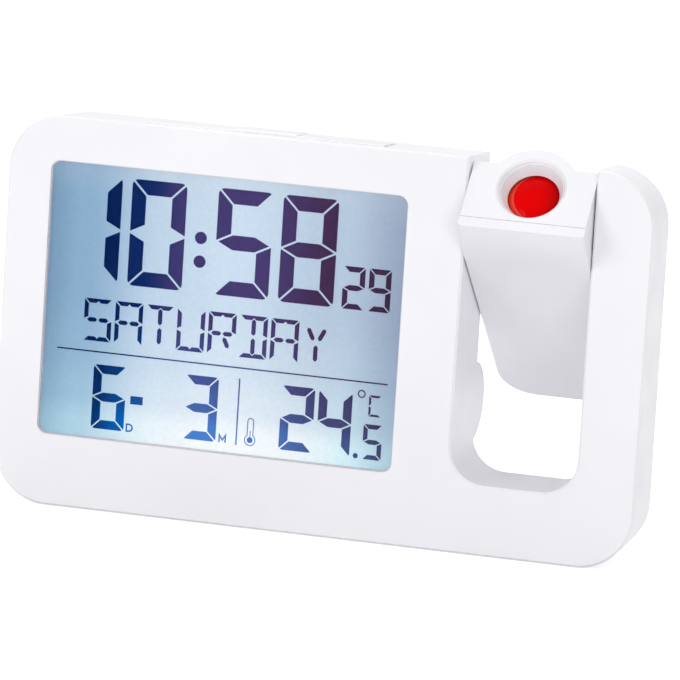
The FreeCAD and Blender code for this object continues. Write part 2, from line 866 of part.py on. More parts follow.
arm_top = top_z
arm_bottom = arm_top - arm_length
arm_left = slot_left + arm_side_gap
arm_right = slot_right - arm_side_gap
head_depth = top_depth


def arm_profile(inset):
    """Side view of the arm: bowed brow, straight blade, deep head that tapers to the blade."""
    front, top, bottom = front_y + inset, arm_top - inset, arm_bottom + inset
    head = front_y + head_depth - inset
    blade = front_y + blade_thickness - inset
    taper_top = arm_top - head_back_height
    taper_end = taper_top - head_taper_height
    chord = vec(0, head - blade, head_taper_height)
    outward = vec(0, -chord.z, chord.y).normalize()
    bow = vec(0, blade, taper_end) + chord * 0.5 + outward * head_taper_bow
    brow_top = vec(0, front + arm_brow_setback, top)
    brow_bend = vec(0, front + arm_brow_bend_setback, arm_top - arm_brow_bend_drop)
    brow_end = vec(0, front, arm_top - arm_brow_height)
    blade_end = vec(0, blade, taper_end)
    head_low, head_top = vec(0, head, taper_top), vec(0, head, top)
    edges = [Part.Arc(brow_top, brow_bend, brow_end).toShape(),
             Part.LineSegment(brow_end, vec(0, front, bottom)).toShape(),
             Part.LineSegment(vec(0, front, bottom), vec(0, blade, bottom)).toShape(),
             Part.LineSegment(vec(0, blade, bottom), blade_end).toShape(),
             Part.Arc(blade_end, bow, head_low).toShape(),
             Part.LineSegment(head_low, head_top).toShape(),
             Part.LineSegment(head_top, brow_top).toShape()]
    return Part.Face(Part.Wire(edges))


def arm_block(side_inset, inset):
    """The arm's block between its two flanks, with round lower corners."""
    x0, x1 = arm_left + side_inset, arm_right - side_inset
    face = arm_profile(inset)
    face.translate(vec(x0, 0, 0))
    block = face.extrude(vec(x1 - x0, 0, 0))
    radius = arm_corner_radius - inset
    outline = plate(x0, x1, -far, far, arm_bottom + inset, arm_top + far, radius)
    return block.common(outline)


def arm_barrel(radius):
    return cyl_z(slot_middle, pivot_y, arm_top - barrel_height, arm_top, radius)


def arm_barrel_bevelled():
    low = arm_top - barrel_height
    return chamfer_edges(arm_barrel(barrel_radius), barrel_end_chamfer,
                         lambda edge: edge.BoundBox.ZMax < low + barrel_end_chamfer)


def arm_hollow():
    inner = arm_block(arm_rear_shell_inset + arm_wall, arm_wall)
    inner = inner.fuse(cyl_z(slot_middle, pivot_y, arm_top - barrel_height + arm_wall,
                             arm_top - arm_wall, barrel_radius - arm_wall))
    core = cyl_z(slot_middle, pivot_y, arm_top - barrel_core_depth, arm_top, barrel_core_radius)
    return inner.cut(core)


def ahead_of_parting():
    return box(-far, far, front_y - far, front_y + arm_parting, -far, far)


def arm_screw_places():
    """Two screws in the blade, below the head."""
    low = arm_bottom + arm_screw_rise
    return [(slot_middle, low + arm_screw_pitch), (slot_middle, low)]


def optics_hole():
    """Stepped bore of the barrel: the bevelled mouth, the ring's seat and the lens cell's guide."""
    ring_bottom = mouth_depth + ring_height + optics_gap
    mouth = cyl_z(slot_middle, optics_y, arm_top - ring_bottom, arm_top + past, mouth_radius)
    bevel = cone_z(slot_middle, optics_y, arm_top - mouth_bevel, arm_top,
                   mouth_radius, mouth_radius + mouth_bevel)
    guide = cyl_z(slot_middle, optics_y, arm_top - barrel_core_depth - past, arm_top,
                  lens_cell_radius() + optics_gap)
    return fuse_all([mouth, bevel, guide])


def ring_outer():
    return mouth_radius - optics_gap


def lens_cell_radius():
    return lens_radius + cell_wall


def arm_front_shell():
    shell = arm_block(0, 0)
    shell = chamfer_edges(shell, arm_edge_chamfer, is_front_flank_edge)
    shell = shell.common(ahead_of_parting())
    shell = shell.cut(arm_hollow()).cut(arm_barrel(barrel_radius + tiny))
    bosses = []
    for x, z in arm_screw_places():
        end = front_y + blade_thickness - arm_wall - optics_gap
        boss = cyl_y(x, front_y + arm_wall / 2, end, z, boss_radius)
        bosses.append(boss.cut(octagon_y(x, front_y + arm_wall, end, z, screw_radius)))
    return fuse_all([shell] + bosses)


def is_front_flank_edge(edge):
    """The edges between the arm's curved front and its flanks."""
    bounds = edge.BoundBox
    on_flank = bounds.XLength < tiny or bounds.ZMax < arm_bottom + arm_corner_radius + tiny
    at_front = bounds.YMax < front_y + arm_brow_setback + tiny
    return on_flank and at_front and bounds.ZLength > arm_edge_chamfer


def arm_rear_shell():
    shell = arm_block(arm_rear_shell_inset, 0).cut(ahead_of_parting())
    shell = fuse_all([shell, arm_barrel_bevelled()])
    shell = shell.cut(arm_hollow()).cut(optics_hole()).cut(arm_seam())
    for x, z in arm_screw_places():
        back = front_y + blade_thickness
        shell = shell.cut(cyl_y(x, front_y + arm_parting, back + past, z,
                                screw_radius + screw_clearance))
        shell = shell.cut(cyl_y(x, back - arm_screw_sink, back + past, z,
                                screw_head_radius + screw_clearance))
    for side in (-1, 1):
        x = slot_middle + side * slot_width / 2
        shell = shell.cut(cyl_x(x - 2 * arm_wall, x + 2 * arm_wall, pivot_y, pivot_z, stub_radius))
    return shell


def arm_seam():
    """Groove across the head's top, where the rear shell meets the front shell."""
    y0 = front_y + arm_parting
    return box(arm_left, arm_right, y0, y0 + arm_seam_width, arm_top - arm_seam_depth, arm_top + past)


def arm_screws():
    screws = []
    for x, z in arm_screw_places():
        seat = front_y + blade_thickness - arm_screw_sink
        shank = octagon_y(x, seat - arm_screw_length, seat, z, screw_radius)
        head = cyl_y(x, seat, seat + arm_screw_sink - screw_clearance / 2, z, screw_head_radius)
        screws.append(shank.fuse(head))
    return Part.makeCompound(screws)


def focus_ring():
    """Ring in the barrel's mouth that a fingertip turns. Inside, it narrows like a funnel to the lens."""
    z1 = arm_top - mouth_depth
    z0 = z1 - ring_height
    ring = cyl_z(slot_middle, optics_y, z0, z1, ring_outer())
    return ring.cut(cone_z(slot_middle, optics_y, z0, z1, ring_opening, ring_outer() - ring_land))


def lens_seat():
    return arm_top - lens_sink - lens_thickness + lens_crown


def lens_cell():
    z1 = arm_top - lens_sink
    body = cyl_z(slot_middle, optics_y, z1 - cell_depth, z1, lens_cell_radius())
    body = body.cut(cyl_z(slot_middle, optics_y, z1 - cell_depth - past, z1 + past,
                          lens_radius - cell_lip))
    return body.cut(cyl_z(slot_middle, optics_y, lens_seat(), z1 + past, lens_radius))


def projection_lens():
    """Red lens: a flat-backed disc with a domed front."""
    rim_z = arm_top - lens_sink
    dome_radius = (lens_radius ** 2 + lens_crown ** 2) / (2 * lens_crown)
    disc = cyl_z(slot_middle, optics_y, lens_seat(), rim_z, lens_radius)
    sphere = ball(dome_radius, vec(slot_middle, optics_y, rim_z + lens_crown - dome_radius))
    dome = sphere.common(cyl_z(slot_middle, optics_y, rim_z, rim_z + 2 * lens_crown, lens_radius))
    return disc.fuse(dome).removeSplitter()


def tunnel_top():
    return arm_top - tunnel_depth


def projector_board_top():
    """The projector's board lies a little above the barrel's floor, and carries the light tunnel."""
    floor = arm_top - barrel_height + arm_wall
    return floor + projector_board_clearance + projector_board_thickness


def light_tunnel():
    """Dark square tube between the lamp and the slide display, on two arms."""
    z1, z0 = tunnel_top(), projector_board_top()
    outer, inner = tunnel_side / 2, tunnel_side / 2 - tunnel_wall
    tube = square_z(outer, z0, z1).cut(square_z(inner, z0, z1))
    arms = []
    for side in (-1, 1):
        reach = arm_left if side < 0 else arm_right
        inner_wall = reach - side * (arm_rear_shell_inset + arm_wall)
        x0, x1 = sorted((slot_middle + side * (outer - tunnel_wall / 2), inner_wall))
        arms.append(box(x0, x1, optics_y - tunnel_arm / 2, optics_y + tunnel_arm / 2,
                        z0, z0 + tunnel_arm))
    return fuse_all([tube] + arms)


def square_z(half, z0, z1):
    """Square block on the optics' axis."""
    return box(slot_middle - half, slot_middle + half, optics_y - half, optics_y + half, z0, z1)


def slide_display():
    z0 = tunnel_top()
    return square_z(slide_size / 2, z0, z0 + slide_thickness)


def condenser_lens():
    z0 = tunnel_top() - condenser_drop
    rim_z = z0 + condenser_rim
    radius = tunnel_side / 2 - tunnel_wall
    disc = cyl_z(slot_middle, optics_y, z0, rim_z, radius)
    centre_z = rim_z + condenser_crown - condenser_curve
    sphere = ball(condenser_curve, vec(slot_middle, optics_y, centre_z))
    dome = sphere.common(cyl_z(slot_middle, optics_y, rim_z, rim_z + 2 * condenser_crown, radius))
    return disc.fuse(dome).removeSplitter()


def projector_board():
    z1 = projector_board_top()
    return square_z(tunnel_side / 2, z1 - projector_board_thickness, z1)


def projector_led():
    z0 = projector_board_top()
    body = cyl_z(slot_middle, optics_y, z0, z0 + projector_led_height, projector_led_radius)
    return chamfer_edges(body, projector_led_round,
                         lambda edge: edge.BoundBox.ZMin > z0 + projector_led_height / 2)


def pivot_end(side):
    """Where a stub ends inside the casing, past its bush and clip."""
    wall_face = slot_left if side < 0 else slot_right
    reach = wall + bush_flange_thickness + clip_gap + clip_thickness + stub_past_clip
    return wall_face + side * reach


def pivot_stub(side):
    """Stub that carries the arm: it is clamped in the arm's flank and turns in the casing's bush."""
    flank = arm_left + arm_rear_shell_inset if side < 0 else arm_right - arm_rear_shell_inset
    inner = flank - side * (arm_wall + stub_flange_thickness)
    x0, x1 = sorted((pivot_end(side), inner))
    stub = cyl_x(x0, x1, pivot_y, pivot_z, stub_radius)
    flange_x = sorted((inner, flank - side * arm_wall))
    flange = cyl_x(flange_x[0], flange_x[1], pivot_y, pivot_z,
                    stub_radius + stub_flange_reach)
    stub = stub.fuse(flange).removeSplitter()
    if side < 0:
        stub = stub.cut(cyl_x(x0 - past, x1 + past, pivot_y, pivot_z, stub_bore_radius))
    return stub


def pivot_bushes():
    bushes = []
    inner = stub_radius + bush_clearance
    for side in (-1, 1):
        wall_face = slot_left if side < 0 else slot_right
        x0, x1 = sorted((wall_face, wall_face + side * wall))
        sleeve = tube_x(x0, x1, pivot_y, pivot_z, bush_outer(), inner)
        end = wall_face + side * (wall + bush_flange_thickness)
        x0, x1 = sorted((wall_face + side * wall, end))
        flange = tube_x(x0, x1, pivot_y, pivot_z, bush_outer() + bush_flange, inner)
        bushes.append(sleeve.fuse(flange).removeSplitter())
    return Part.makeCompound(bushes)


def pivot_clips():
    """Spring clips on the stubs' ends, which press the arm sideways and hold its tilt."""
    clips = []
    for side in (-1, 1):
        start = pivot_end(side) - side * (stub_past_clip + clip_thickness)
        x0, x1 = sorted((start, start + side * clip_thickness))
        clips.append(tube_x(x0, x1, pivot_y, pivot_z, stub_radius + clip_reach, stub_radius))
    return Part.makeCompound(clips)


def projector_lead():
    """Flat lead from the main board into the hollow stub, with one bend."""
    x0 = board_outline()[1] - lead_inset
    x1 = pivot_end(-1) + lead_reach
    turn_x, turn_y = x0 + lead_bend, pivot_y - lead_bend
    z0, z1 = pivot_z - lead_width / 2, pivot_z + lead_width / 2
    half = lead_thickness / 2
    rise = box(x0 - half, x0 + half, board_back, turn_y, z0, z1)
    elbow = tube_z(turn_x, turn_y, z0, z1, lead_bend + half, lead_bend - half)
    elbow = elbow.common(box(x0 - half, turn_x, turn_y, pivot_y + half, z0, z1))
    run = box(turn_x, x1, pivot_y - half, pivot_y + half, z0, z1)
    return fuse_all([rise, elbow, run])


def tilted(shape):
    turned = shape.copy()
    turned.rotate(vec(0, pivot_y, pivot_z), vec(1, 0, 0), rest_tilt)
    return turned


def save(name, shape):
    shape.exportStep(os.path.join("parts", name + ".step"))


os.makedirs("parts", exist_ok=True)

casing_pieces = {
    "front_shell": front_shell,
    "rear_cover": rear_cover,
    "display_window": display_window,
    "lcd_panel": lcd_panel,
    "light_guide": light_guide,
    "backlight_leds": backlight_leds,
    "contact_strip": contact_strip,
    "display_frame": display_frame,
    "main_board": main_board,
    "clock_chip": clock_chip,
    "crystal": crystal,
    "key_switches": key_switches,
    "snooze_switch": snooze_switch,
    "switch_body": slider_body,
    "buzzer": buzzer,
    "temperature_sensor": temperature_sensor,
    "frame_screws": frame_screws,
    "case_screws": case_screws,
    "rubber_feet": rubber_feet,
    "battery_cells": battery_cells,
    "battery_contacts": battery_contacts,
    "battery_door": battery_door,
    "snooze_bar": snooze_bar,
    "alarm_slider": alarm_slider,
    "pivot_bushes": pivot_bushes,
    "projector_lead": projector_lead,
}
arm_pieces = {
    "arm_front_shell": arm_front_shell,
    "arm_rear_shell": arm_rear_shell,
    "arm_screws": arm_screws,
    "focus_ring": focus_ring,
    "lens_cell": lens_cell,
    "projection_lens": projection_lens,
    "light_tunnel": light_tunnel,
    "slide_display": slide_display,
    "condenser_lens": condenser_lens,
    "projector_led": projector_led,
    "projector_board": projector_board,
    "pivot_clips": pivot_clips,
}
for name, make in casing_pieces.items():
    save(name, make())
for name, x in zip(rear_key_names, rear_key_xs):
    save(name, rear_key(x))
for name, make in arm_pieces.items():
    save(name, tilted(make()))
save("pivot_stub_left", tilted(pivot_stub(-1)))
save("pivot_stub_right", tilted(pivot_stub(1)))
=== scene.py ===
import json
import math
from collections import namedtuple

import bmesh
import bpy
from mathutils import Matrix, Vector


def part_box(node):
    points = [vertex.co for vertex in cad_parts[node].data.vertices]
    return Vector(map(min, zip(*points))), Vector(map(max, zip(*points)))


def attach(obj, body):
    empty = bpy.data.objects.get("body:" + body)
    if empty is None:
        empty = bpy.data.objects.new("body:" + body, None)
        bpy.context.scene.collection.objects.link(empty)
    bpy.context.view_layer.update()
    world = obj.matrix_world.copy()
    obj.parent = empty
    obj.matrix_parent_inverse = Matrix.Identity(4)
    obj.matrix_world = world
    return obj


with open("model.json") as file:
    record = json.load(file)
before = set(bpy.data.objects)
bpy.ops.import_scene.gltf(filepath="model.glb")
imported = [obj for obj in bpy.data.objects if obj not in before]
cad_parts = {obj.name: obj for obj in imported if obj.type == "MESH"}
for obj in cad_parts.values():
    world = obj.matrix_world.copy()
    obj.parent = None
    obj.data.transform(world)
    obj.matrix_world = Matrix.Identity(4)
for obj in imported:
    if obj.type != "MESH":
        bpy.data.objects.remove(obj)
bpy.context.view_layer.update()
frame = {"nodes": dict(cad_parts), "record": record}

# Lengths are in metres, and written as so many MM where that reads better.
MM = 0.001

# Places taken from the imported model
window_low, window_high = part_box("display_window")
panel_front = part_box("lcd_panel")[0].y
lens_low, lens_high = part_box("projection_lens")
cells_low, cells_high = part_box("battery_cells")
CELL_COUNT = 2

# Colours are sRGB values from 0 to 255. A ramp's stops are pairs: a place from 0 to 1, and the colour
# or the value there.
CASING_WHITE = (243, 242, 246)
ARM_WHITE = (241, 240, 244)
KEY_WHITE = (243, 242, 246)
# The focus ring's faint cyan tint is painted to cancel the red light that the lens throws on it
RING_WHITE_AGAINST_RED_LIGHT = (229, 236, 240)
# Painted shade: the liner's grey darkens the window's edge
LINER_PAINTED_SHADE_GREY = (212, 210, 214)
BOARD_DARK = (14, 76, 38)
BOARD_GREEN = (24, 104, 56)
SLEEVE_GREEN = (54, 92, 76)
SLEEVE_PALE = (214, 210, 196)
CELL_STEEL = (176, 176, 180)

# One battery cell, along its length
CELL_STOPS = ((0.02, CELL_STEEL), (0.025, SLEEVE_GREEN), (0.76, SLEEVE_GREEN), (0.765, SLEEVE_PALE),
              (0.955, SLEEVE_PALE), (0.96, CELL_STEEL))

# Lit panel: its colours from left to right, away from its lamps and over them, and how near the lamps
# are, from its lower edge up and from left to right
PANEL_COLOURS = ((0.0, (121, 155, 184)), (0.1, (137, 172, 202)), (0.34, (194, 213, 230)),
                 (0.52, (203, 221, 236)), (0.82, (181, 199, 217)), (1.0, (150, 165, 189)))
PANEL_OVER_LAMPS = ((0.0, (206, 250, 255)), (0.42, (251, 255, 255)), (0.68, (251, 255, 255)),
                    (1.0, (206, 250, 255)))
PANEL_LAMPS_UP = ((0.0, 1.0), (0.05, 0.92), (0.165, 0.42), (0.33, 0.16), (0.55, 0.0))
PANEL_LAMPS_ACROSS = ((0.0, 0.3), (0.1, 0.46), (0.34, 0.85), (0.52, 1.0), (0.8, 0.88), (1.0, 0.45))
PANEL_TOP = (196, 203, 208)
PANEL_TOP_UP = ((0.86, 0.0), (1.0, 0.18))

# Its marks, in the same terms
INK_COLOURS = ((0.15, (1, 26, 78)), (0.27, (8, 36, 94)), (0.38, (62, 56, 110)),
               (0.6, (70, 57, 108)), (0.8, (66, 42, 76)), (1.0, (60, 38, 63)))
INK_OVER_LAMPS = ((0.22, (6, 112, 205)), (0.42, (72, 130, 208)))
INK_LAMPS_UP = ((0.0, 1.0), (0.06, 0.95), (0.165, 0.45), (0.33, 0.12), (0.5, 0.0))
INK_LAMPS_ACROSS = ((0.14, 0.1), (0.24, 0.7), (0.32, 0.95), (0.46, 1.0), (0.6, 0.8), (0.85, 0.35),
                    (1.0, 0.15))

# The display's own light, the share of its colour that it reflects, and how much lighter its fine
# lines are than its figures
DISPLAY_GLOW = 0.68
REFLECTED = 0.3
FINE_LINE_LIFT = 1.1

# The lens, from left to right, with painted shade that darkens its right side. Its paler crescent is a
# painted highlight: it lies between two distances from a point that is moved off the lens's middle, and
# its strength changes from the first distance to the second.
SHADED_LENS_REDS = ((0.0, (222, 3, 4)), (0.6, (220, 0, 2)), (1.0, (178, 4, 5)))
# Painted glow of the lens, which is no lamp: its colour and strength
PAINTED_GLOW_RED = (214, 0, 2)
PAINTED_LENS_GLOW = 0.08
PAINTED_CRESCENT_RED = (232, 84, 64)
PAINTED_CRESCENT_STRENGTH = ((0.0, 0.0), (0.14, 0.95), (0.6, 0.6), (1.0, 0.4))
PAINTED_CRESCENT_SHIFT = (1.9 * MM, 0.0, 0.6 * MM)
PAINTED_CRESCENT_FROM = 7.6 * MM
PAINTED_CRESCENT_TO = 9.2 * MM

# Thin lip of the barrel round the focus ring: how far off the ring it begins and ends, how far below
# the ring's top it lies, and its thickness
LIP_CLEARANCE = 0.04 * MM
LIP_REACH = 0.4 * MM
LIP_DROP = 0.06 * MM
LIP_THICKNESS = 0.3 * MM

# Liner just inside the window's edge: the opening's own white edge, darkened to grey with painted shade
WINDOW_CORNER = 2.95 * MM
LINER_INSET = 0.02 * MM
LINER_THICKNESS = 0.18 * MM
LINER_SETBACK = 0.03 * MM

# The display's marks stand out of the panel's front face by this much. Their places were measured on
# the casing's front. The panel is a little behind it, so they move left and down to look the same
# from the camera.
MARK_HEIGHT = 0.06 * MM
MARK_SHIFT_X = -0.55 * MM
MARK_SHIFT_Z = -0.32 * MM

# Layout of the marks, in millimetres from the display's lower left corner. A row of signs has the left
# sides of its cells, their lower edge, size, bar width and the gap between two bars.
Row = namedtuple("Row", "signs lefts low width height bar gap")
TIME_ROW = Row("1058", (5.2, 24.3, 49.8, 68.85), low=45.05, width=16.2, height=30.4, bar=4.25, gap=0.55)
SECONDS_ROW = Row("29", (87.5, 95.1), low=45.05, width=6.45, height=12.1, bar=1.55, gap=0.35)
WEEKDAY_LEFT = 12.15
WEEKDAY_PITCH = 9.22
WEEKDAY_LEFTS = [WEEKDAY_LEFT + WEEKDAY_PITCH * number for number in range(8)]
WEEKDAY_ROW = Row("SATURDAY", WEEKDAY_LEFTS, low=28.1, width=8.2, height=12.1, bar=1.25, gap=0.34)
DATE_ROW = Row("6324", (15.95, 43.3, 71.7, 82.7), low=3.1, width=9.8, height=18.4, bar=2.55, gap=0.4)
TENTHS_ROW = Row("5", (96.2,), low=3.1, width=5.5, height=10.0, bar=1.3, gap=0.3)
UNIT_ROW = Row("C", (97.3,), low=15.35, width=3.6, height=6.05, bar=0.62, gap=0.22)

# Round marks: the middle across and up, and the radius
COLON_DOTS = ((45.3, 60.65, 1.77), (45.3, 53.9, 1.77))
POINT_DOT = (94.3, 3.8, 0.74)
DEGREE_RING = (95.05, 21.5, 0.98)
DEGREE_LINE = 0.36

# Straight marks
DATE_DASH = (27.3, 11.15, 31.0, 13.5)
UPRIGHT_DIVIDER = (59.0, 2.9, 59.4, 22.0)
LEVEL_DIVIDER = [(4.7, 24.9), (102.4, 24.7), (102.4, 25.1), (4.7, 25.3)]

# Small letters that stand for day and month
LETTER_LINE = 0.42
SMALL_D_STEM = [(26.6, 3.3), (26.6, 5.3)]
SMALL_D_MIDDLE = (27.2, 4.3)
SMALL_D_BOW = 1.1
SMALL_D_RISE = 1.0
SMALL_M = [(54.2, 3.2), (54.2, 5.3), (55.1, 3.9), (56.0, 5.3), (56.0, 3.2)]

# Thermometer sign
THERMOMETER_X = 63.2
THERMOMETER_LINE = 0.26
BULB_Z = 4.75
BULB_RADIUS = 1.55
BULB_FILL = 0.85
TUBE_TOP_Z = 10.1
TUBE_RADIUS = 0.85
COLUMN_HALF = 0.12
COLUMN_TOP_Z = 7.4

# Bars that each sign shows, as a seven-segment figure or as a fourteen-segment letter. From the top
# clockwise the outer ones are a, b, c, d, e and f. The level one in the middle is g, or g1 and g2 in a
# letter. Inside a letter i and l are upright, and h, j and m are slanted.
FIGURE_BARS = {"0": "abcdef", "1": "bc", "2": "abged", "3": "abgcd", "4": "fgbc", "5": "afgcd",
               "6": "afgecd", "8": "abcdefg", "9": "abcdfg", "C": "afed"}
LETTER_BARS = {"S": "a f g1 g2 c d", "A": "a f b g1 g2 e c", "T": "a i l", "U": "f e d b c",
               "R": "a f b g1 g2 e m", "D": "a i l d b c", "Y": "h j l"}

# Radius of a cell's rounded corners as a share of its bar width
CORNER_SHARE = 0.42

# Heights this close are the same, in millimetres
SAME_HEIGHT = 1e-6

# Least cosine of half a turn in a line: past it the corner is cut short
LEAST_MITRE = 0.3

# Camera, at the photograph's viewing angle
CAMERA_PLACE = Vector((490.62, -1731.76, 353.37)) * MM
CAMERA_AZIMUTH = math.radians(15.7328)
CAMERA_ELEVATION = math.radians(9.4292)
CAMERA_ROLL = math.radians(3.6446)
CAMERA_LENS = 342.57
CAMERA_SENSOR = 36.0
CAMERA_CLIP = 50

# Floor and surroundings. The floor's tones are linear. Its own light shows to the camera, through
# clear plastic and in reflections, and lights nothing else.
FLOOR_HALF = 6.0
FLOOR_TONES = [(0.3, (0.69, 0.69, 0.70, 1.0)), (0.7, (0.72, 0.72, 0.73, 1.0))]
FLOOR_SEEN_LIGHT = 0.68
WORLD_LIGHT = 0.63

# Round lamps that face the object's middle: name, place, diameter and power
LAMP_TARGET = Vector((0, 0, 0.06))
LAMPS = (("key_lamp", (-0.62, -0.95, 0.5), 0.6, 3.5),
         ("fill_lamp", (0.9, -1.5, 0.26), 0.9, 7.2),
         ("top_lamp", (0.0, 0.72, 1.6), 0.8, 13.2))


# Colours and node helpers

def linear(colour):
    """Linear RGBA of an sRGB colour given from 0 to 255."""
    def channel(value):
        share = value / 255
        return share / 12.92 if share <= 0.04045 else ((share + 0.055) / 1.055) ** 2.4
    return tuple(channel(value) for value in colour) + (1.0,)


def tones(stops):
    """Stops of a ramp from sRGB colours."""
    return [(place, linear(colour)) for place, colour in stops]


def greys(stops):
    """Stops of a ramp that carries one value."""
    return [(place, (value, value, value, 1.0)) for place, value in stops]


def shade(colour, share):
    return tuple(value * share for value in colour[:3]) + (1.0,)


class Nodes:
    """A material's or the world's node tree, with short ways to add nodes and links."""

    def __init__(self, owner, shader="Principled BSDF"):
        owner.use_nodes = True
        self.owner = owner
        self.tree = owner.node_tree
        self.shader = self.tree.nodes[shader]

    def add(self, kind, **settings):
        node = self.tree.nodes.new(kind)
        for key, value in settings.items():
            setattr(node, key, value)
        return node

    def link(self, source, target):
        self.tree.links.new(source, target)

    def feed(self, value, socket):
        """Links an output to the socket, or sets the socket to a plain value."""
        if isinstance(value, (int, float, tuple)):
            socket.default_value = value
        else:
            self.link(value, socket)

    def set(self, **values):
        """Shader inputs, with _ for each space in their names."""
        for key, value in values.items():
            self.feed(value, self.shader.inputs[key.replace("_", " ")])

    def position(self):
        return self.add("ShaderNodeTexCoord").outputs["Object"]

    def noise(self, scale, detail=3.0, roughness=0.5):
        node = self.add("ShaderNodeTexNoise")
        node.inputs["Scale"].default_value = scale
        node.inputs["Detail"].default_value = detail
        node.inputs["Roughness"].default_value = roughness
        self.link(self.position(), node.inputs["Vector"])
        return node.outputs["Fac"]

    def ramp(self, value, stops, smooth=True):
        node = self.add("ShaderNodeValToRGB")
        node.color_ramp.interpolation = "EASE" if smooth else "LINEAR"
        elements = node.color_ramp.elements
        while len(elements) < len(stops):
            elements.new(0.5)
        for element, (place, colour) in zip(elements, stops):
            element.position = place
            element.color = colour
        self.link(value, node.inputs["Fac"])
        return node.outputs["Color"]

    def span(self, value, low, high, at_low=0.0, at_high=1.0):
        """Goes from at_low to at_high while the value goes from low to high."""
        node = self.add("ShaderNodeMapRange", clamp=True)
        node.inputs["From Min"].default_value = low
        node.inputs["From Max"].default_value = high
        node.inputs["To Min"].default_value = at_low
        node.inputs["To Max"].default_value = at_high
        self.link(value, node.inputs["Value"])
        return node.outputs["Result"]

    def along(self, axis, low, high):
        """0 where the place along this axis is low, and 1 where it is high."""
        parts = self.add("ShaderNodeSeparateXYZ")
        self.link(self.position(), parts.inputs["Vector"])
        return self.span(parts.outputs[axis], low, high)

    def math(self, operation, first, second=0.0):
        node = self.add("ShaderNodeMath", operation=operation)
        self.feed(first, node.inputs[0])
        self.feed(second, node.inputs[1])
        return node.outputs["Value"]

    def mix(self, share, first, second, blend="MIX"):
        node = self.add("ShaderNodeMix", data_type="RGBA", blend_type=blend)
        self.feed(share, node.inputs["Factor"])
        self.feed(first, node.inputs[6])
        self.feed(second, node.inputs[7])
        return node.outputs[2]

    def multiply(self, first, second):
        return self.mix(1.0, first, second, blend="MULTIPLY")

    def seen_by(self, *rays):
        """1 for these kinds of ray, and 0 for the others."""
        light_path = self.add("ShaderNodeLightPath")
        share = light_path.outputs[rays[0]]
        for ray in rays[1:]:
            share = self.math("MAXIMUM", share, light_path.outputs[ray])
        return share

    def glow(self, colour, strength):
        """Lit from behind: most of the colour is given off, and the rest is what it reflects."""
        reflected = self.multiply(colour, (REFLECTED, REFLECTED, REFLECTED, 1.0))
        self.set(Emission_Color=colour, Emission_Strength=strength, Base_Color=reflected)

    def bump(self, height, strength, distance):
        node = self.add("ShaderNodeBump")
        node.inputs["Strength"].default_value = strength
        node.inputs["Distance"].default_value = distance
        self.link(height, node.inputs["Height"])
        self.set(Normal=node.outputs["Normal"])


def material_nodes(name):
    return Nodes(bpy.data.materials.new(name))


# Finishes

def moulded_plastic(name, colour, roughness=0.42, grain=0.09):
    """Satin moulded plastic: fine spark grain, a soft sheen and a faint cloudiness in its tone."""
    nodes = material_nodes(name)
    base = linear(colour)
    cloud = nodes.noise(scale=38.0, detail=2.0)
    patches = nodes.noise(scale=120.0, detail=4.0)
    nodes.set(Base_Color=nodes.ramp(cloud, [(0.35, shade(base, 0.98)), (0.65, base)]),
              Roughness=nodes.ramp(patches, greys([(0.3, roughness - 0.04), (0.7, roughness + 0.05)])))
    nodes.bump(nodes.noise(scale=2600.0, detail=5.0, roughness=0.6), grain, 0.02 * MM)
    return nodes.owner


def soft_rubber(name, colour, roughness=0.7):
    nodes = material_nodes(name)
    base = linear(colour)
    dust = nodes.noise(scale=90.0, detail=5.0)
    nodes.set(Base_Color=nodes.ramp(dust, [(0.3, shade(base, 0.9)), (0.75, shade(base, 1.08))]),
              Roughness=roughness, Specular_IOR_Level=0.3, Sheen_Weight=0.08)
    nodes.bump(nodes.noise(scale=1800.0, detail=6.0), 0.15, 0.03 * MM)
    return nodes.owner


def plated_metal(name, colour, roughness=0.28):
    nodes = material_nodes(name)
    base = linear(colour)
    stain = nodes.noise(scale=160.0, detail=4.0)
    nodes.set(Base_Color=nodes.ramp(stain, [(0.3, shade(base, 0.88)), (0.7, base)]),
              Metallic=1.0, Roughness=roughness)
    nodes.bump(nodes.noise(scale=3200.0, detail=3.0), 0.12, 0.01 * MM)
    return nodes.owner


def gloss_plastic(name, colour, roughness=0.12):
    nodes = material_nodes(name)
    base = linear(colour)
    cloud = nodes.noise(scale=60.0, detail=2.0)
    nodes.set(Base_Color=nodes.ramp(cloud, [(0.3, shade(base, 0.93)), (0.7, base)]),
              Roughness=roughness, Coat_Weight=0.5, Coat_Roughness=0.05)
    nodes.bump(nodes.noise(scale=1500.0), 0.03, 0.01 * MM)
    return nodes.owner


def clear_plastic(name, colour, roughness=0.02, ior=1.08):
    """Clear moulded acrylic. Its low index keeps the window's reflections as faint as they are."""
    nodes = material_nodes(name)
    base = linear(colour)
    haze = nodes.noise(scale=25.0)
    nodes.set(Base_Color=nodes.ramp(haze, [(0.3, shade(base, 0.985)), (0.7, base)]),
              Roughness=roughness, Transmission_Weight=1.0, IOR=ior)
    return nodes.owner


def over_lamps(nodes, colours, colours_over_lamps, lamps_up, lamps_across):
    """Colours across the display, which give way to others near the lamps at its lower edge."""
    across = nodes.along("X", window_low.x, window_high.x)
    up = nodes.along("Z", window_low.z, window_high.z)
    strength = nodes.math("MULTIPLY", nodes.ramp(up, greys(lamps_up)),
                          nodes.ramp(across, greys(lamps_across)))
    return nodes.mix(strength, nodes.ramp(across, tones(colours)),
                     nodes.ramp(across, tones(colours_over_lamps)))


